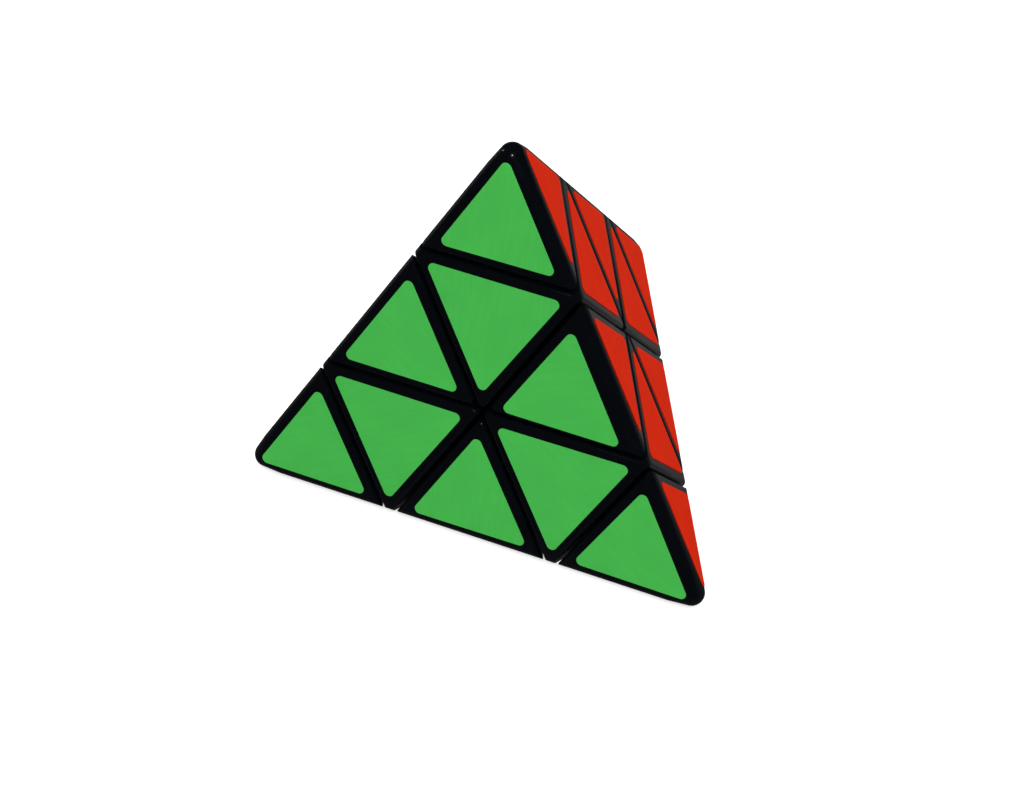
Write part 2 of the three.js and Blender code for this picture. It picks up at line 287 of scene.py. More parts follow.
nylon = hidden_finish("moulded_black_nylon", ("#121316", "#1A1B1F"), 0.0, (0.4, 0.55), 0.6, 0.03)
zinc = hidden_finish("zinc_plated_steel", ("#B4B9BE", "#CDD0D2"), 1.0, (0.22, 0.4), 0.25, 0.01)
music_wire = hidden_finish(
    "drawn_music_wire", ("#8E9296", "#A8ABAE"), 1.0, (0.2, 0.35), 0.1, 0.005)
print("made", nylon.name, zinc.name, music_wire.name)

# %% [markdown]
# ## Cells
#
# Each black piece is a cell of the tetrahedron: the space between a few planes. Its corners
# could be typed in, but they follow from the planes, so a short search finds them. A plane is
# a direction and how far the cell reaches along it. The planes are moved in by the rounding
# radius first, because a ball rolled over those inner corners gives back the outer size.

# %% Corners of a cell
TOLERANCE = 1e-6  # for single-precision vectors, in metres or without a unit


def below(corner, reach):
    return AXES[corner], reach


def above(corner, reach):
    return -AXES[corner], -reach


def cell_corners(planes, inset):
    found = []
    for trio in combinations(planes, 3):
        normals = Matrix([normal for normal, _ in trio])
        if abs(normals.determinant()) < TOLERANCE:
            continue
        point = normals.inverted() @ Vector([reach - inset for _, reach in trio])
        inside = all(normal.dot(point) < reach - inset + TOLERANCE for normal, reach in planes)
        if inside and all((point - other).length > TOLERANCE for other in found):
            found.append(point)
    return found


GAP = 0.4 * MM  # running gap between neighbouring pieces
CORNER_ROUND = 2.6 * MM  # at the four corners of the whole puzzle
SEAM_ROUND = 1.0 * MM  # where a face turns into a cut
OUTER = [above(corner, -FACE) for corner in CORNERS]
print("body corners:", len(cell_corners(OUTER, CORNER_ROUND)))

# %% [markdown]
# ## Rounded cells by Geometry Nodes
#
# A cell with evenly rounded edges could be a sharp solid with a bevel, but where four planes
# meet, or where a large and a small radius cross, a bevel tears. The node tree below puts a
# ball on each inner corner and stretches a skin over all of them, a convex hull, so every
# edge is a true cylinder and every corner a true sphere. Each point carries its own radius as
# an attribute, because the whole puzzle is rounder at its corners than along its edges.

# %% The rounded-cell tree


def new_tree(name, sockets):
    tree = bpy.data.node_groups.new(name, "GeometryNodeTree")
    tree.interface.new_socket("Geometry", in_out="INPUT", socket_type="NodeSocketGeometry")
    for label, kind in sockets:
        tree.interface.new_socket(label, in_out="INPUT", socket_type=kind)
    tree.interface.new_socket("Geometry", in_out="OUTPUT", socket_type="NodeSocketGeometry")
    return tree, add(tree, "NodeGroupInput").outputs


def finish_tree(tree, geometry, material):
    real = add(tree, "GeometryNodeRealizeInstances", {"Geometry": geometry})
    painted = add(tree, "GeometryNodeSetMaterial", {
        "Geometry": real.outputs[0], "Material": material})
    add(tree, "NodeGroupOutput", {0: painted.outputs[0]})
    return tree


def shade(tree, geometry, angle):
    smooth = add(tree, "GeometryNodeSetShadeSmooth", {"Geometry": geometry})
    edge = add(tree, "GeometryNodeInputMeshEdgeAngle")
    crease = add(tree, "FunctionNodeCompare", {
        0: edge.outputs[0], 1: angle}, data_type="FLOAT", operation="GREATER_THAN")
    return add(tree, "GeometryNodeSetShadeSmooth", {
        "Geometry": smooth.outputs[0], "Selection": crease.outputs[0],
        "Shade Smooth": False}, domain="EDGE").outputs[0]


def rounded_cell_tree():
    tree, given = new_tree("rounded_cell", [
        ("Ball detail", "NodeSocketInt"),
        ("Material", "NodeSocketMaterial"),
    ])
    ball = add(tree, "GeometryNodeMeshIcoSphere", {
        "Radius": 1.0, "Subdivisions": given["Ball detail"]})
    radius = add(tree, "GeometryNodeInputNamedAttribute", {"Name": "radius"}, data_type="FLOAT")
    balls = add(tree, "GeometryNodeInstanceOnPoints", {
        "Points": given["Geometry"], "Instance": ball.outputs[0], "Scale": radius.outputs[0]})
    real = add(tree, "GeometryNodeRealizeInstances", {"Geometry": balls.outputs[0]})
    skin = add(tree, "GeometryNodeConvexHull", {"Geometry": real.outputs[0]})
    return finish_tree(tree, skin.outputs[0], given["Material"])


def run_tree(name, mesh, tree, values):
    """Runs a node tree on a mesh and returns a plain object with the result."""
    blank = bpy.data.objects.new(name + "_blank", mesh)
    bpy.context.scene.collection.objects.link(blank)
    modifier = blank.modifiers.new("shape", "NODES")
    modifier.node_group = tree
    for item in tree.interface.items_tree:
        if item.in_out == "INPUT" and item.name in values:
            modifier[item.identifier] = values[item.name]
    bpy.context.view_layer.update()
    evaluated = blank.evaluated_get(bpy.context.evaluated_depsgraph_get())
    result = bpy.data.objects.new(name, bpy.data.meshes.new_from_object(evaluated))
    blank.modifiers.remove(modifier)
    bpy.data.objects.remove(blank)
    return result


def points_mesh(points=(), radii=()):
    mesh = bpy.data.meshes.new("points")
    mesh.from_pydata(points, [], [])
    radius = mesh.attributes.new("radius", "FLOAT", "POINT")
    radius.data.foreach_set("value", radii)
    return mesh


ROUNDED_CELL = rounded_cell_tree()


def skin_over(name, points, radii, detail):
    return run_tree(name, points_mesh(points, radii), ROUNDED_CELL, {
        "Ball detail": detail, "Material": black_abs})


def rounded_cell(name, planes, rounding, detail):
    corners = cell_corners(planes, rounding)
    return skin_over(name, corners, [rounding] * len(corners), detail)


EDGE_ROUND = 2.2 * MM  # along the six outer edges
EDGE_EASE = 5 * MM  # length over which the corner's radius runs out into the edge's
BODY_DETAIL = 5  # subdivisions of the balls
CELL_DETAIL = 4
WING_DETAIL = 3


def make_body():
    """The outer shape of the whole puzzle, which trims every black piece."""
    points = cell_corners(OUTER, CORNER_ROUND)
    radii = [CORNER_ROUND] * len(points)
    for a, b in PAIRS:
        for near, far in ((AXES[a], AXES[b]), (AXES[b], AXES[a])):
            points.append(near * 3 * (FACE - EDGE_ROUND) + (far - near).normalized() * EDGE_EASE)
            radii.append(EDGE_ROUND)
    return skin_over("whole_body", points, radii, BODY_DETAIL)


body = make_body()
print("body faces:", len(body.data.polygons))

# %% [markdown]
# ## Turned shapes
#
# Posts, stems, bores and collars are round, so each is an outline turned about its axis. The
# outline is a short list of radius and height in millimetres. They could be cylinders joined
# one by one, but one outline keeps every chamfer and fillet in one place. A ball is only
# needed as a cutter, for the hollows in which the wings of the edge pieces slide.

# %% Turning and balls


def to_object(name, shape):
    mesh = bpy.data.meshes.new(name)
    shape.to_mesh(mesh)
    shape.free()
    return bpy.data.objects.new(name, mesh)


FINE_SIDES = 96  # facets round a turned shape
PLAIN_SIDES = 48


def turned(name, outline, sides=FINE_SIDES):
    shape = bmesh.new()
    points = [shape.verts.new((radius * MM, 0, height * MM)) for radius, height in outline]
    edges = [shape.edges.new(pair) for pair in zip(points, points[1:])]
    bmesh.ops.spin(
        shape, geom=points + edges, cent=(0, 0, 0), axis=(0, 0, 1), angle=math.tau,
        steps=sides, use_merge=True)
    bmesh.ops.remove_doubles(shape, verts=shape.verts, dist=1e-7)
    bmesh.ops.recalc_face_normals(shape, faces=shape.faces)
    return to_object(name, shape)


def ball(name, radius):
    shape = bmesh.new()
    bmesh.ops.create_icosphere(shape, subdivisions=BODY_DETAIL, radius=radius * MM)
    return to_object(name, shape)


def bend(centre, radius, start, end, steps=6):
    """Points along an arc of an outline, with angles in degrees."""
    angles = [math.radians(start + (end - start) * n / steps) for n in range(steps + 1)]
    return [(centre[0] + radius * math.cos(a), centre[1] + radius * math.sin(a)) for a in angles]


test_ring = turned("ring", [(0, 0), (1, 0), (1, 1), (0, 1)])
print("a test ring has", len(test_ring.data.polygons), "faces")

# %% [markdown]
# ## Machining by Geometry Nodes
#
# Every black piece goes through the same steps: trim the cell to the rounded body, hollow it,
# join a fitting, bore it, then mark the sharp edges for shading. The steps could be four
# modifiers on each piece, but as one node tree they are written once and read in order.

# %% The machining tree
CREASE = math.radians(35)  # edges sharper than this stay crisp


def machining_tree():
    tree, given = new_tree("machined_moulding", [
        ("Trim to", "NodeSocketObject"),
        ("Hollow", "NodeSocketObject"),
        ("Fitting", "NodeSocketObject"),
        ("Bore", "NodeSocketObject"),
        ("Crease angle", "NodeSocketFloat"),
        ("Material", "NodeSocketMaterial"),
    ])

    def step(shape, tool, operation):
        solid = add(tree, "GeometryNodeObjectInfo", {"Object": given[tool]})
        joint = add(tree, "GeometryNodeMeshBoolean", operation=operation, solver="MANIFOLD")
        first = joint.inputs["Mesh 1"] if operation == "DIFFERENCE" else joint.inputs["Mesh 2"]
        tree.links.new(shape, first)
        tree.links.new(solid.outputs["Geometry"], joint.inputs["Mesh 2"])
        return joint.outputs["Mesh"]

    shape = step(given["Geometry"], "Trim to", "INTERSECT")
    shape = step(shape, "Hollow", "DIFFERENCE")
    shape = step(shape, "Fitting", "UNION")
    shape = step(shape, "Bore", "DIFFERENCE")
    shape = shade(tree, shape, given["Crease angle"])
    return finish_tree(tree, shape, given["Material"])


MACHINING = machining_tree()


def machined(name, blank, trim, material, **tools):
    bench = bpy.context.scene.collection.objects
    values = {"Trim to": trim, "Crease angle": CREASE, "Material": material}
    values.update({label.capitalize(): tool for label, tool in tools.items()})
    fresh = [tool for tool in (trim, *tools.values()) if tool.name not in bench]
    for tool in fresh:
        bench.link(tool)
    piece = run_tree(name, blank.data, MACHINING, values)
    for tool in fresh:
        bench.unlink(tool)
    return piece


print("steps in the machining tree:", len(MACHINING.nodes))

# %% [markdown]
# ## Tips
#
# A tip is the corner cell of the puzzle. It turns on a snap collar, so it has a socket with a
# groove for the lip of the collar, and a tapered hollow above it that keeps the moulding from
# sinking as it cools. The cell is made a hair larger than the body on the outer faces, and is
# then trimmed to the body, so that the large round of the puzzle's edges runs over all the
# pieces without a step.

# %% The tip
FACE_ALLOWANCE = 0.004 * MM
CELL_FACES = [above(corner, -FACE - FACE_ALLOWANCE) for corner in CORNERS]
TIP_MM = TIP_CUT / MM
COLLAR_MM = TIP_MM + 4.1  # top of the snap collar
COLLAR_RADIUS = 5
LIP_RADIUS = 5.5
PLAY = 0.35  # between collar and socket


def cell(name, cuts):
    return rounded_cell(name, cuts + CELL_FACES, SEAM_ROUND, CELL_DETAIL)


def make_tip():
    wall = COLLAR_RADIUS + PLAY
    groove = LIP_RADIUS + PLAY
    step = COLLAR_MM - 1.5 - PLAY
    socket = turned("socket", [
        (0, TIP_MM - 1), (wall + 0.6, TIP_MM - 1), (wall + 0.4, TIP_MM + 0.2),
        (wall, TIP_MM + 0.6), (wall, step), (groove, step + 0.3),
        (groove, COLLAR_MM + PLAY - 0.2), (groove - 0.2, COLLAR_MM + PLAY),
        (groove - 0.6, COLLAR_MM + PLAY), *bend((1.2, COLLAR_MM + 11.7), 0.3, 0, 90),
        (0, COLLAR_MM + 12)])
    blank = cell("tip_cell", [above("top", TIP_CUT + GAP / 2)])
    return machined("tip", blank, body, black_abs, bore=socket)


tip = make_tip()
print("tip faces:", len(tip.data.polygons))

# %% [markdown]
# ## Centre blocks
#
# A centre block shows one small triangle on each of three faces. Under it a tube turns round a
# post of the core, a web carries the spring, and on top stands the snap collar for the tip.
# Tube and collar are one turned fitting, and the bore through them is another, because they
# share an axis.

# %% The centre block
WING_INNER = 12.4
BLOCK_HOLLOW = ball("block_hollow", 18.1)
STEM_RADIUS = 5.8
STEM_BORE = 4.3
WEB_LOW = 18
WEB_HIGH = 22
PILOT = 1.8
POCKET = 4.2


def make_centre():
    fitting = turned("stem_and_collar", [
        (0, WING_INNER), (STEM_RADIUS - 0.3, WING_INNER), (STEM_RADIUS, WING_INNER + 0.3),
        (STEM_RADIUS, WEB_HIGH), (COLLAR_RADIUS, WEB_HIGH + 0.5),
        (COLLAR_RADIUS, COLLAR_MM - 1.5), (LIP_RADIUS - 0.1, COLLAR_MM - 1.25),
        (LIP_RADIUS, COLLAR_MM - 1.1), (LIP_RADIUS, COLLAR_MM - 0.7),
        (LIP_RADIUS - 0.1, COLLAR_MM - 0.5), (COLLAR_RADIUS, COLLAR_MM), (0, COLLAR_MM)])
    bore = turned("spring_pocket", [
        (0, WING_INNER - 1), (STEM_BORE + 1.5, WING_INNER - 1),
        (STEM_BORE + 0.3, WING_INNER + 0.2), (STEM_BORE, WING_INNER + 0.5),
        (STEM_BORE, WEB_LOW - 0.3), (STEM_BORE - 0.3, WEB_LOW), (PILOT, WEB_LOW),
        (PILOT, WEB_HIGH), (POCKET - 0.3, WEB_HIGH), (POCKET, WEB_HIGH + 0.3),
        (POCKET, COLLAR_MM - 0.3), (POCKET + 0.3, COLLAR_MM),
        (POCKET + 0.3, COLLAR_MM + 1), (0, COLLAR_MM + 1)])
    blank = cell("centre_cell", [
        above("top", LAYER_CUT + GAP / 2), below("top", TIP_CUT - GAP / 2),
        *[below(corner, LAYER_CUT - GAP / 2) for corner in others_than("top")]])
    return machined(
        "centre", blank, body, black_abs, hollow=BLOCK_HOLLOW, fitting=fitting, bore=bore)


centre = make_centre()
print("centre block faces:", len(centre.data.polygons))

# %% [markdown]
# ## Edge pieces
#
# An edge piece shows two triangles and is held in by a hidden wing: a piece of a hollow ball
# that slides under the two centre blocks beside it. The wing is cut from its own cell by two
# balls, and is then the fitting that joins the outer cell.

# %% The edge piece
WING_OUTER = 17.5
WING_CUT = 2.5 * MM


def make_edge():
    pair = ["top", "left"]
    wing_planes = [above(corner, WING_CUT + GAP / 2) for corner in pair]
    wing_planes += [below(corner, WING_CUT - GAP / 2) for corner in others_than(*pair)]
    wing_cell = rounded_cell("wing_cell", wing_planes + OUTER, SEAM_ROUND, WING_DETAIL)
    wing = machined(
        "wing", wing_cell, ball("wing_outside", WING_OUTER), black_abs,
        hollow=ball("wing_inside", WING_INNER))
    outer = cell("edge_cell", [above(corner, LAYER_CUT + GAP / 2) for corner in pair])
    return machined("edge", outer, body, black_abs, fitting=wing)


edge = make_edge()
print("edge piece faces:", len(edge.data.polygons))

# %% [markdown]
# ## Core
#
# The core is a ball with a post on each axis. The wings slide on the ball and the centre
# blocks turn on the posts. Each post flares where it leaves the ball, because a sharp root in
# nylon would crack, and has a pilot hole for its screw.

# %% The core


def frame_of(a, b):
    out = (AXES[a] + AXES[b]).normalized()
    along = (AXES[a] - AXES[b]).normalized()
    return Matrix((out, along, out.cross(along))).transposed()


def turn_to(a, b):
    """The turn of the puzzle onto itself that takes corners top and left to a and b."""
    return (frame_of(a, b) @ frame_of("top", "left").transposed()).to_4x4()


CORNER_TURNS = {corner: turn_to(corner, others_than(corner)[0]) for corner in CORNERS}


def on_all_corners(name, tool):
    shape = bmesh.new()
    for turn in CORNER_TURNS.values():
        mesh = tool.data.copy()
        mesh.transform(turn)
        shape.from_mesh(mesh)
    return to_object(name, shape)


CORE_BALL = 12


def make_core():
    post = turned("post", [
        (0, 8), (4.9, 8), (4.9, 10.7), *bend((5.2, 12.2), 1.2, 250, 180), (4, 17.2),
        (3.7, 17.5), (0, 17.5)], PLAIN_SIDES)
    pilot = turned("pilot", [
        (0, 6.5), (PILOT, 6.9), (PILOT, 17.2), (PILOT + 0.3, 17.5), (PILOT + 0.3, 18.5),
        (0, 18.5)], PLAIN_SIDES)
    return machined(
        "core", ball("hub", CORE_BALL), body, nylon,
        fitting=on_all_corners("posts", post), bore=on_all_corners("pilots", pilot))


core = make_core()
print("core faces:", len(core.data.polygons))

# %% [markdown]
# ## Screws
#
# Each centre block is held by a pan-head screw of zinc-plated steel with a rolled thread and a
# cross recess. The blank is turned, and a node tree winds the thread: a spiral curve carries a
# four-cornered section, of which the inner half sinks into the shank. A thread is the usual
# case for a node tree, because pitch and length stay adjustable.

# %% The screw


def screw_tree():
    tree, given = new_tree("cross_head_screw", [
        ("Thread low", "NodeSocketFloat"),
        ("Thread length", "NodeSocketFloat"),
        ("Pitch", "NodeSocketFloat"),
        ("Root radius", "NodeSocketFloat"),
        ("Thread depth", "NodeSocketFloat"),
        ("Recess", "NodeSocketObject"),
        ("Crease angle", "NodeSocketFloat"),
        ("Material", "NodeSocketMaterial"),
    ])
    turns = add(tree, "ShaderNodeMath", {
        0: given["Thread length"], 1: given["Pitch"]}, operation="DIVIDE")
    helix = add(tree, "GeometryNodeCurveSpiral", {
        "Resolution": 24, "Rotations": turns.outputs[0], "Start Radius": given["Root radius"],
        "End Radius": given["Root radius"], "Height": given["Thread length"], "Reverse": False})
    lift = add(tree, "ShaderNodeCombineXYZ", {"Z": given["Thread low"]})
    placed = add(tree, "GeometryNodeTransform", {
        "Geometry": helix.outputs[0], "Translation": lift.outputs[0]})
    section = add(tree, "GeometryNodeCurvePrimitiveCircle", {
        "Resolution": 4, "Radius": given["Thread depth"]}, mode="RADIUS")
    upright = add(tree, "GeometryNodeSetCurveNormal", {"Curve": placed.outputs[0]}, mode="Z_UP")
    thread = add(tree, "GeometryNodeCurveToMesh", {
        "Curve": upright.outputs[0], "Profile Curve": section.outputs[0], "Fill Caps": True})
    joined = add(tree, "GeometryNodeMeshBoolean", operation="UNION", solver="MANIFOLD")
    tree.links.new(given["Geometry"], joined.inputs["Mesh 2"])
    tree.links.new(thread.outputs[0], joined.inputs["Mesh 2"])
    recess = add(tree, "GeometryNodeObjectInfo", {"Object": given["Recess"]})
    cut = add(tree, "GeometryNodeMeshBoolean", {
        "Mesh 1": joined.outputs[0]}, operation="DIFFERENCE", solver="MANIFOLD")
    tree.links.new(recess.outputs["Geometry"], cut.inputs["Mesh 2"])
    return finish_tree(tree, shade(tree, cut.outputs[0], given["Crease angle"]), given["Material"])


HEAD_LOW = 30
HEAD_HIGH = 32.4
ROOT_RADIUS = 1.15  # of the thread
CROSS_LONG = 1.7  # half the length and width of a slot of the cross, and its depth
CROSS_WIDE = 0.4
CROSS_DEEP = 1.2
CROSS_TAPER = 0.6  # how much of its size a slot keeps at the bottom


def cross_recess():
    shape = bmesh.new()
    for half in ((CROSS_LONG, CROSS_WIDE), (CROSS_WIDE, CROSS_LONG)):
        added = bmesh.ops.create_cube(shape, size=2)["verts"]
        bmesh.ops.scale(shape, verts=added, vec=(half[0] * MM, half[1] * MM, CROSS_DEEP * MM))
        bmesh.ops.translate(shape, verts=added, vec=(0, 0, HEAD_HIGH * MM))
        for vert in added:
            if vert.co.z < HEAD_HIGH * MM:
                vert.co.x *= CROSS_TAPER
                vert.co.y *= CROSS_TAPER
    return to_object("cross_recess", shape)


def make_screw():
    blank = turned("screw_blank", [
        (0, 7), (0.7, 7), (ROOT_RADIUS, 8.4), (ROOT_RADIUS, 17.4), (1.4, 17.9), (1.4, 29.6),
        (1.7, HEAD_LOW), (3, HEAD_LOW), (3.2, 30.2), (3.2, 31.2),
        *bend((2.1, 31.2), 1.1, 0, 80), (0, HEAD_HIGH)], PLAIN_SIDES)
    recess = cross_recess()
    bpy.context.scene.collection.objects.link(recess)
    screw = run_tree("screw", blank.data, screw_tree(), {
        "Thread low": 8.6 * MM, "Thread length": 8.4 * MM, "Pitch": 1.05 * MM,
        "Root radius": ROOT_RADIUS * MM, "Thread depth": 0.35 * MM, "Recess": recess,
        "Crease angle": CREASE, "Material": zinc})
    bpy.context.scene.collection.objects.unlink(recess)
    return screw


screw = make_screw()
print("screw faces:", len(screw.data.polygons))

# %% [markdown]
# ## Springs
#
# Under each screw head sits a small compression spring that keeps the puzzle tight. A real one
# has an open middle and closed ends, where the coils touch. The node tree winds an even spiral
# of low pitch, then lifts its points with a smooth step, which opens only the middle.

# %% The spring


def spring_tree():
    tree, given = new_tree("compression_spring", [
        ("Coil radius", "NodeSocketFloat"),
        ("Wire radius", "NodeSocketFloat"),
        ("Turns", "NodeSocketFloat"),
        ("Low", "NodeSocketFloat"),
        ("Closed height", "NodeSocketFloat"),
        ("Opening", "NodeSocketFloat"),
        ("Material", "NodeSocketMaterial"),
    ])
    coil = add(tree, "GeometryNodeCurveSpiral", {
        "Resolution": 48, "Rotations": given["Turns"], "Start Radius": given["Coil radius"],
        "End Radius": given["Coil radius"], "Height": given["Closed height"], "Reverse": False})
    along = add(tree, "GeometryNodeSplineParameter")
    opened = add(tree, "ShaderNodeMapRange", {
        "Value": along.outputs["Factor"], "To Min": given["Low"]},
        interpolation_type="SMOOTHSTEP")
    top = add(tree, "ShaderNodeMath", {0: given["Low"], 1: given["Opening"]}, operation="ADD")
    tree.links.new(top.outputs[0], opened.inputs["To Max"])
    lift = add(tree, "ShaderNodeCombineXYZ", {"Z": opened.outputs[0]})
    raised = add(tree, "GeometryNodeSetPosition", {
        "Geometry": coil.outputs[0], "Offset": lift.outputs[0]})
    wire = add(tree, "GeometryNodeCurvePrimitiveCircle", {
        "Resolution": 16, "Radius": given["Wire radius"]}, mode="RADIUS")
    solid = add(tree, "GeometryNodeCurveToMesh", {
        "Curve": raised.outputs[0], "Profile Curve": wire.outputs[0], "Fill Caps": True})
    return finish_tree(tree, shade(tree, solid.outputs[0], CREASE), given["Material"])


SPRING_LOW = 22.65  # middle of the wire at the lowest coil
SPRING_HIGH = 29.35
SPRING_TURNS = 4.5
COIL_STEP = 0.74  # a hair more than the wire is thick


def make_spring():
    closed = COIL_STEP * SPRING_TURNS
    return run_tree("spring", points_mesh(), spring_tree(), {
        "Coil radius": 2.6 * MM, "Wire radius": 0.35 * MM, "Turns": SPRING_TURNS,
        "Low": SPRING_LOW * MM, "Closed height": closed * MM,
        "Opening": (SPRING_HIGH - SPRING_LOW - closed) * MM, "Material": music_wire})


spring = make_spring()
print("spring faces:", len(spring.data.polygons))

# %% [markdown]
# ## Stickers
#
# A sticker is a triangle of film with rounded corners, cut with a steel die, which leaves its
# upper rim slightly rolled over. In nodes it is a circle of three points with its corners
# filleted, filled, and raised twice: once for the wall and once, a little smaller, for the
# rim. Its own UV map holds its place in millimetres, so that the streaks of the film follow
# each sticker.

# %% The sticker tree


def sticker_tree():
    tree, given = new_tree("die_cut_sticker", [
        ("Reach", "NodeSocketFloat"),
        ("Corner radius", "NodeSocketFloat"),
        ("Wall", "NodeSocketFloat"),
        ("Rim", "NodeSocketFloat"),
        ("Material", "NodeSocketMaterial"),
    ])
    triangle = add(tree, "GeometryNodeCurvePrimitiveCircle", {
        "Resolution": 3, "Radius": given["Reach"]}, mode="RADIUS")
    rounded = add(tree, "GeometryNodeFilletCurve", {
        "Curve": triangle.outputs[0], "Count": 10, "Radius": given["Corner radius"]},
        mode="POLY")
    film = add(tree, "GeometryNodeFillCurve", {"Curve": rounded.outputs[0]}, mode="NGONS")
    underside = add(tree, "GeometryNodeFlipFaces", {"Mesh": film.outputs[0]})
    wall = add(tree, "GeometryNodeExtrudeMesh", {
        "Mesh": film.outputs[0], "Offset Scale": given["Wall"], "Individual": False})
    rim = add(tree, "GeometryNodeExtrudeMesh", {
        "Mesh": wall.outputs["Mesh"], "Selection": wall.outputs["Top"],
        "Offset Scale": given["Rim"], "Individual": False})
    share = add(tree, "ShaderNodeMath", {0: given["Rim"], 1: given["Reach"]}, operation="DIVIDE")
    smaller = add(tree, "ShaderNodeMath", {
        0: share.outputs[0], 1: -2.0, 2: 1.0}, operation="MULTIPLY_ADD")
    top = add(tree, "GeometryNodeScaleElements", {
        "Geometry": rim.outputs["Mesh"], "Selection": rim.outputs["Top"],
        "Scale": smaller.outputs[0]})
    both = add(tree, "GeometryNodeJoinGeometry")
    tree.links.new(underside.outputs[0], both.inputs[0])
    tree.links.new(top.outputs[0], both.inputs[0])
    closed = add(tree, "GeometryNodeMergeByDistance", {
        "Geometry": both.outputs[0], "Distance": 0.001 * MM})
    place = add(tree, "GeometryNodeInputPosition")
    in_mm = add(tree, "ShaderNodeVectorMath", {
        0: place.outputs[0], "Scale": 1 / MM}, operation="SCALE")
    mapped = add(tree, "GeometryNodeStoreNamedAttribute", {
        "Geometry": closed.outputs[0], "Name": "UVMap"}, data_type="FLOAT2", domain="CORNER")
    tree.links.new(in_mm.outputs[0], mapped.inputs["Value"])
    return finish_tree(tree, shade(tree, mapped.outputs[0], math.radians(20)), given["Material"])


STICKER_TREE = sticker_tree()
STICKER_LOW = 0.02 * MM  # a breath of adhesive between film and plastic
RIM = 0.05 * MM
OUTER_INSET = 3.3 * MM  # from an outer edge of the puzzle
CUT_INSET = 2.6 * MM  # from a cut, on tips and edge pieces
CENTRE_INSET = 1.9 * MM  # from a cut, on centre blocks


def make_sticker(name, base, sides, material):
    reach = 2 * (CELL_INRADIUS - (base + 2 * sides) / 3)
    return run_tree(name, points_mesh(), STICKER_TREE, {
        "Reach": reach, "Corner radius": 1.1 * MM, "Wall": STICKER_TOP - STICKER_LOW - RIM,
        "Rim": RIM, "Material": material})


test_sticker = make_sticker("sticker", CUT_INSET, OUTER_INSET, vinyl["green"])
print("sticker faces:", len(test_sticker.data.polygons))
print("sticker UV maps:", len(test_sticker.data.uv_layers))

# %% [markdown]
# ## Putting the pieces in place
#
# One tip, one centre block and one edge piece are enough, because the puzzle looks the same
# from every corner. Each copy gets its own mesh, turned into place, and rides on the CAD body
# that it belongs to, so it turns with the right layer. Its name starts with the name of the
# CAD node that it stands for, and that node is hidden.

# %% Black pieces and mechanism


def install(source, name, turn, body_name, node):
    mesh = source.data.copy()
    mesh.transform(turn)
    piece = bpy.data.objects.new(name, mesh)
    bpy.context.scene.collection.objects.link(piece)
    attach(piece, body_name)
    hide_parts(node)
    return piece


install(core, "core_moulding", Matrix(), "core", "core")
METAL = ((screw, "screw", "screw_steel"), (spring, "spring", "spring_steel"))
for corner, turn in CORNER_TURNS.items():
    for source, kind, slot in METAL:
        install(source, f"{kind}_{corner}_metal", turn, "core", f"{kind}_{corner}")
    for source, kind in ((tip, "tip"), (centre, "centre")):
        node = f"{kind}_{corner}"
        install(source, node + "_moulding", turn, node, node)
for a, b in PAIRS:
    node = f"edge_{a}_{b}"
    install(edge, node + "_moulding", turn_to(a, b), node, node)

# %% [markdown]
# ## Stickers on the faces
#
# Each face carries nine stickers in one colour: three on tips, three on centre blocks and
# three on edge pieces. Where a sticker lies follows from its cell: the middle of the cell is a
# whole number of cell inradii from the middle of the face, towards a corner. Placed exactly,
# the stickers would look printed, so each one slips and turns by a hair, as stickers laid by
# hand do. One on the green face lies visibly off its place.

# %% Thirty-six stickers
LAYOUT = {  # inradii from the middle, pointing outwards or inwards, margin at base and sides
    "tip": (4, 1, CUT_INSET, OUTER_INSET),
    "centre": (2, -1, CENTRE_INSET, CENTRE_INSET),
    "edge": (-2, 1, OUTER_INSET, CUT_INSET),
}
HAND = random.Random(7)
SLIP = 0.12 * MM  # most that a sticker lies off its place
TWIST = math.radians(0.5)
SLIPPED = {"sticker_green_edge_top_right": Vector((1.2, 0.5, 0)) * MM}


def sticker_turn(name, face, corner, kind):
    steps, pointing, base, sides = LAYOUT[kind]
    out = -AXES[face]
    up = (AXES[corner] - out * AXES[corner].dot(out)).normalized()
    point = up * pointing
    place = out * (FACE + STICKER_LOW) + up * steps * CELL_INRADIUS
    place += point * (base - sides) * 2 / 3
    axes = Matrix((point, out.cross(point), out)).transposed()
    slip = Vector((HAND.uniform(-SLIP, SLIP), HAND.uniform(-SLIP, SLIP), 0))
    slip += SLIPPED.get(name, Vector((0, 0, 0)))
    twist = Matrix.Rotation(HAND.uniform(-TWIST, TWIST), 4, "Z")
    return Matrix.Translation(place) @ axes.to_4x4() @ Matrix.Translation(slip) @ twist


for face, colour in FACE_COLOURS.items():
    for kind, (_, _, base, sides) in LAYOUT.items():
        blank = make_sticker(f"{colour}_{kind}_blank", base, sides, vinyl[colour])
        for corner in others_than(face):
            a, b = others_than(face, corner)
            node = f"edge_{a}_{b}" if kind == "edge" else f"{kind}_{corner}"
            name = f"sticker_{colour}_{node}"
            turn = sticker_turn(name, face, corner, kind)
            install(blank, name + "_film", turn, node, name)

# %% [markdown]
# ## Floor and studio light
#
# The puzzle stands on a plain pale floor under a soft, nearly even light, as in a small photo
# tent. Glossy black plastic would mirror the white tent and turn grey, so a photographer puts
# black cards just outside the picture. Here the floor and the tent do the same by themselves:
# a mirrored ray finds them dark, while every other ray finds them white. Behind the puzzle the
# paper stays a little brighter in a mirrored ray, so that surfaces seen at a low angle turn
# grey instead of black.

# %% Floor
CARD = 0.02  # how bright the black cards look in a mirrored ray
PAPER = 0.13  # and the dim paper behind the puzzle
CARD_END = -60 * MM  # along Y, the cards fade into the paper from here
PAPER_START = 40 * MM  # to here
FLOOR_HALF = 6.0  # metres
BACKLIGHT = 0.5  # the paper's own glow, which keeps it white to the eye


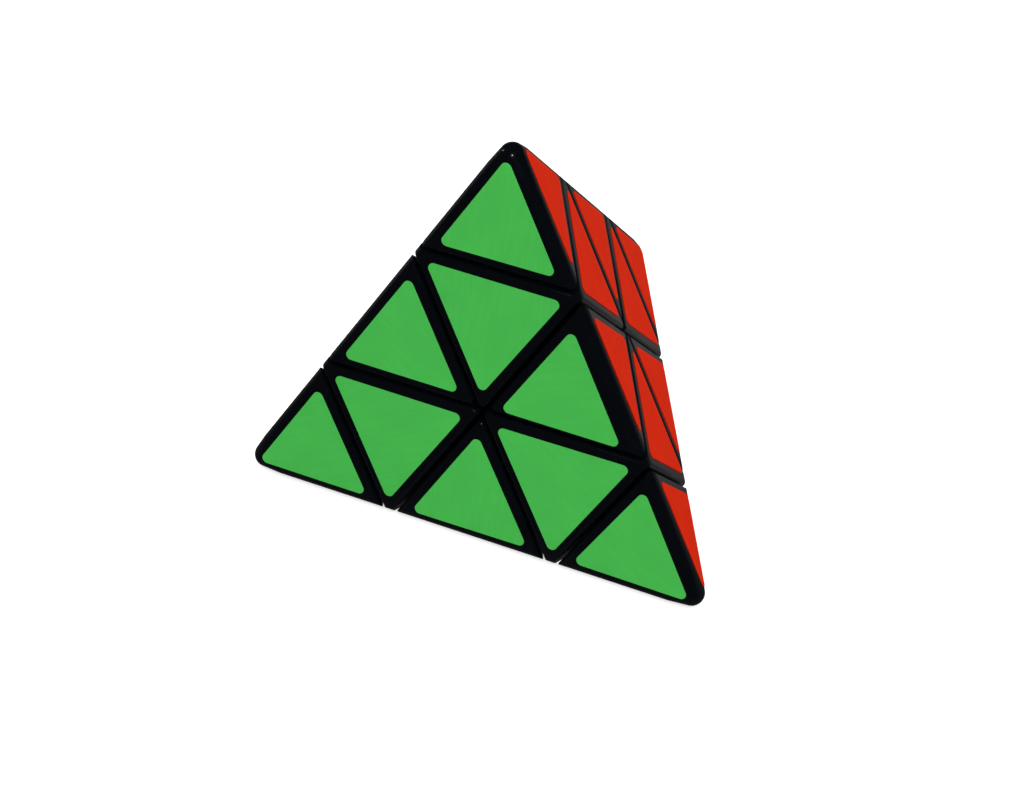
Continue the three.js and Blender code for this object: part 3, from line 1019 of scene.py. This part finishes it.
def make_floor():
    mesh = bpy.data.meshes.new("studio_floor")
    mesh.from_pydata(
        [(x * FLOOR_HALF, y * FLOOR_HALF, FLOOR)
         for x, y in ((-1, -1), (1, -1), (1, 1), (-1, 1))],
        [], [(0, 1, 2, 3)])
    material = bpy.data.materials.new("matt_paper_sweep")
    material.use_nodes = True
    tree = material.node_tree
    tree.nodes.clear()
    path = add(tree, "ShaderNodeLightPath")
    place = add(tree, "ShaderNodeSeparateXYZ", {
        "Vector": add(tree, "ShaderNodeTexCoord").outputs["Object"]})
    depth = add(tree, "ShaderNodeMapRange", {
        "Value": place.outputs["Y"], "From Min": CARD_END, "From Max": PAPER_START,
        "To Min": CARD, "To Max": PAPER})
    card = add(tree, "ShaderNodeEmission", {"Strength": depth.outputs[0]})
    paper = add(tree, "ShaderNodeBsdfDiffuse", {"Color": linear("#F4F4F4")})
    backlight = add(tree, "ShaderNodeEmission", {"Strength": BACKLIGHT})
    lit = add(tree, "ShaderNodeAddShader", {0: paper.outputs[0], 1: backlight.outputs[0]})
    direct = add(tree, "ShaderNodeMixShader", {
        0: path.outputs["Is Camera Ray"], 1: paper.outputs[0], 2: lit.outputs[0]})
    seen = add(tree, "ShaderNodeMixShader", {
        0: path.outputs["Is Glossy Ray"], 1: direct.outputs[0], 2: card.outputs[0]})
    add(tree, "ShaderNodeOutputMaterial", {"Surface": seen.outputs[0]})
    mesh.materials.append(material)
    floor = bpy.data.objects.new("studio_floor", mesh)
    bpy.context.scene.collection.objects.link(floor)


make_floor()
print("floor at mm:", round(FLOOR / MM, 2))

# %% [markdown]
# ## Tent and lamps
#
# A wide overhead bank, a little to the right, lights the green and the red face alike. It
# could be a row of area lamps, but a sun with a very wide disc gives the same soft light with
# no edge to tune. Two small lamps then put points of light on the rounded corners, as a real
# flash does. The colours are shown with the plain Standard transform, so that a swatch keeps
# its value.

# %% Tent and lamps


def make_tent():
    world = bpy.data.worlds.new("photo_tent")
    world.use_nodes = True
    tree = world.node_tree
    tree.nodes.clear()
    path = add(tree, "ShaderNodeLightPath")
    fabric = add(tree, "ShaderNodeBackground", {"Strength": 0.56})
    card = add(tree, "ShaderNodeBackground", {"Strength": CARD})
    backdrop = add(tree, "ShaderNodeBackground", {"Strength": 1.0})
    inside = add(tree, "ShaderNodeMixShader", {
        0: path.outputs["Is Glossy Ray"], 1: fabric.outputs[0], 2: card.outputs[0]})
    seen = add(tree, "ShaderNodeMixShader", {
        0: path.outputs["Is Camera Ray"], 1: inside.outputs[0], 2: backdrop.outputs[0]})
    add(tree, "ShaderNodeOutputWorld", {"Surface": seen.outputs[0]})
    for background in (fabric, card, backdrop):
        background.inputs["Color"].default_value = linear("#FFFFFF")
    bpy.context.scene.world = world


def lamp(name, kind, turn, height, distance, power, **settings):
    """A lamp aimed at the puzzle, placed by a turn and a height in degrees, and metres."""
    turn, height = math.radians(turn), math.radians(height)
    place = distance * Vector((
        math.sin(turn) * math.cos(height), -math.cos(turn) * math.cos(height), math.sin(height)))
    data = bpy.data.lights.new(name, kind)
    data.energy = power
    for setting, value in settings.items():
        setattr(data, setting, value)
    item = bpy.data.objects.new(name, data)
    aim = (-place).to_track_quat("-Z", "Y").to_matrix().to_4x4()
    item.matrix_world = Matrix.Translation(place) @ aim
    bpy.context.scene.collection.objects.link(item)
    return item


make_tent()
bank = lamp("overhead_bank", "SUN", 78, 72, 1.0, 1.65, angle=math.radians(70))
bank.visible_glossy = False  # it would show as a grey disc on every round corner
lamp("spark_by_camera", "AREA", 26, 50, 0.5, 0.33, size=0.012)
lamp("spark_left", "AREA", -94, 25, 0.5, 0.12, size=0.012)
bpy.context.scene.view_settings.view_transform = "Standard"
print("lamps:", [light.name for light in bpy.data.lights])
